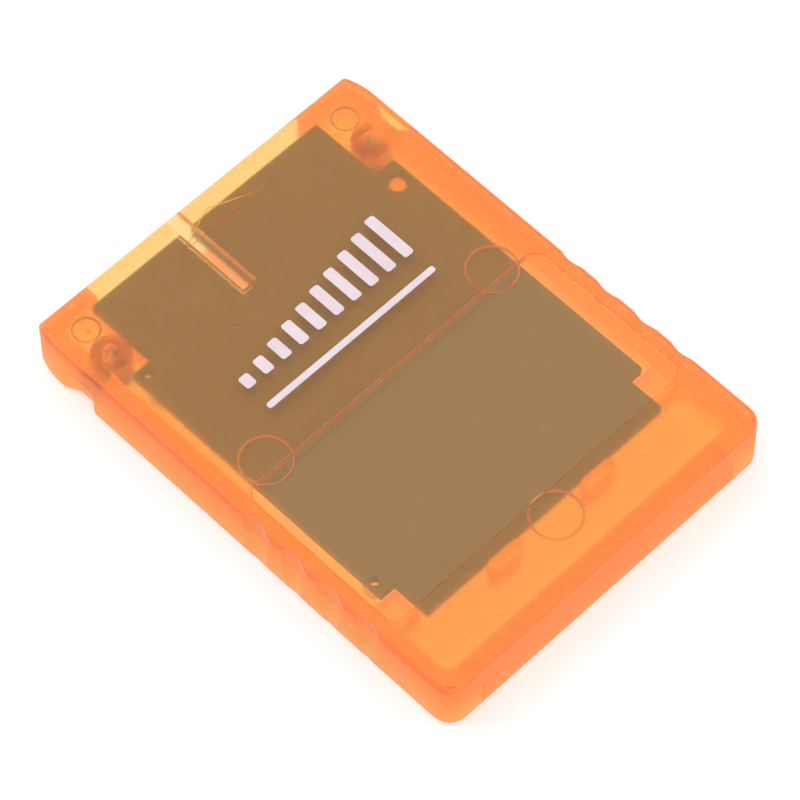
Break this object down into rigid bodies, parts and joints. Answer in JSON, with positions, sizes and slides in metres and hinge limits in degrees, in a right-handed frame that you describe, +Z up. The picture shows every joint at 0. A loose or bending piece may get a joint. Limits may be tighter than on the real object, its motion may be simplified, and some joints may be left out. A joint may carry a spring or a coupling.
{
  "type": "console memory card",
  "caption": "Flat translucent orange memory card for a game console: screwed covers round a circuit board, an open connector mouth at one end and scalloped grips on the long sides",
  "frame": {"origin": "on the flat underside, at the middle of the card", "axes": "X runs across the card, +Y points to the connector end that goes into a slot, +Z is up through the plain top face"},
  "size_m": [0.042, 0.056, 0.0065],
  "materials": {
    "orange_plastic": "translucent orange with a fine frosted skin",
    "board_laminate": "matte olive solder mask",
    "contact_plating": "bright gold plating",
    "chip_moulding": "matte black moulding",
    "tinned_lead": "tinned, satin",
    "capacitor_body": "tan with tinned ends",
    "resistor_body": "black with tinned ends",
    "screw_steel": "zinc plated, satin"
  },
  "bodies": {
    "root": {"top_cover": "orange_plastic", "bottom_cover": "orange_plastic", "circuit_board": "board_laminate", "contact_1": "contact_plating", "contact_2": "contact_plating", "contact_3": "contact_plating", "contact_4": "contact_plating", "contact_5": "contact_plating", "contact_6": "contact_plating", "contact_7": "contact_plating", "contact_8": "contact_plating", "flash_memory_chip": "chip_moulding", "flash_memory_leads": "tinned_lead", "controller_chip": "chip_moulding", "controller_leads": "tinned_lead", "capacitor_1": "capacitor_body", "capacitor_2": "capacitor_body", "capacitor_3": "capacitor_body", "capacitor_4": "capacitor_body", "capacitor_5": "capacitor_body", "resistor_1": "resistor_body", "resistor_2": "resistor_body", "resistor_3": "resistor_body", "resistor_4": "resistor_body", "case_screws": "screw_steel"}
  },
  "joints": []
}
